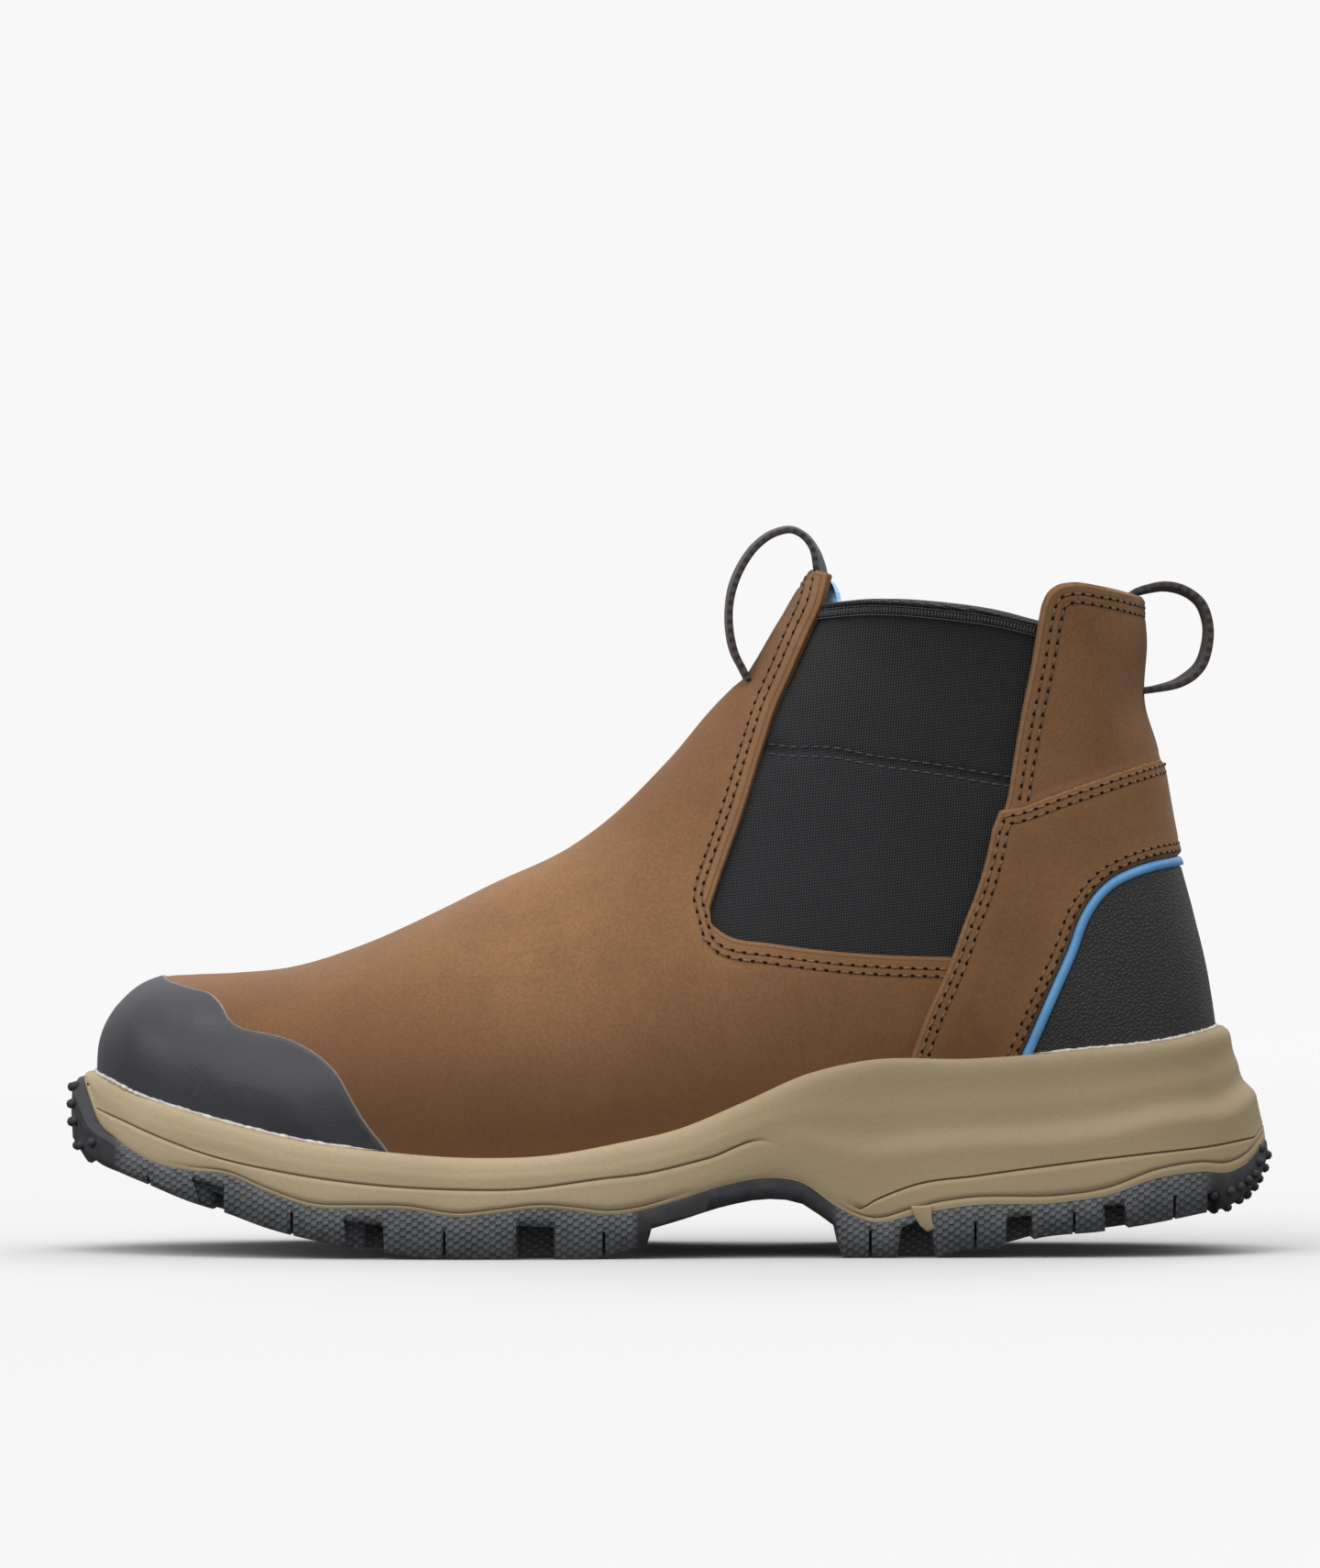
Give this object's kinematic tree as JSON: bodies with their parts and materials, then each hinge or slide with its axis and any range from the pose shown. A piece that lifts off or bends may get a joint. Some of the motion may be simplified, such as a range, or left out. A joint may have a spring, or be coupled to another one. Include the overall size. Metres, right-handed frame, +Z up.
{
  "type": "side gore work boot",
  "caption": "Tall pull-on work boot, left foot, with elastic side gores, rubber toe cap, black heel counter, pull loops front and back, foam cup midsole and lugged rubber outsole.",
  "frame": {"origin": "bottom centre of the bounding box, on the floor that the lugs stand on", "axes": "+X from the heel to the toe, +Y to the outer side of the left foot, +Z up"},
  "size_m": [0.3074, 0.1158, 0.1866],
  "materials": {
    "rubber": "matt dark rubber, fine relief on the lug sides",
    "foam": "matt tan moulded foam",
    "insole_foam": "dark knit over foam",
    "leather": "brown nubuck, soft and matt",
    "elastic": "black ribbed elastic",
    "cap_rubber": "satin dark grey rubber",
    "black_leather": "black pebbled leather",
    "blue_trim": "blue satin trim",
    "webbing": "dark woven webbing"
  },
  "bodies": {
    "root": {"outsole": "rubber", "midsole": "foam", "insole": "insole_foam", "upper": "leather", "gore_outer": "elastic", "gore_inner": "elastic", "gore_binding_outer": "elastic", "gore_binding_inner": "elastic", "toe_cap": "cap_rubber", "back_panel": "leather", "quarter_band": "leather", "heel_piping": "blue_trim", "heel_counter": "black_leather", "front_pull_loop": "webbing", "back_pull_loop": "webbing"}
  },
  "joints": []
}
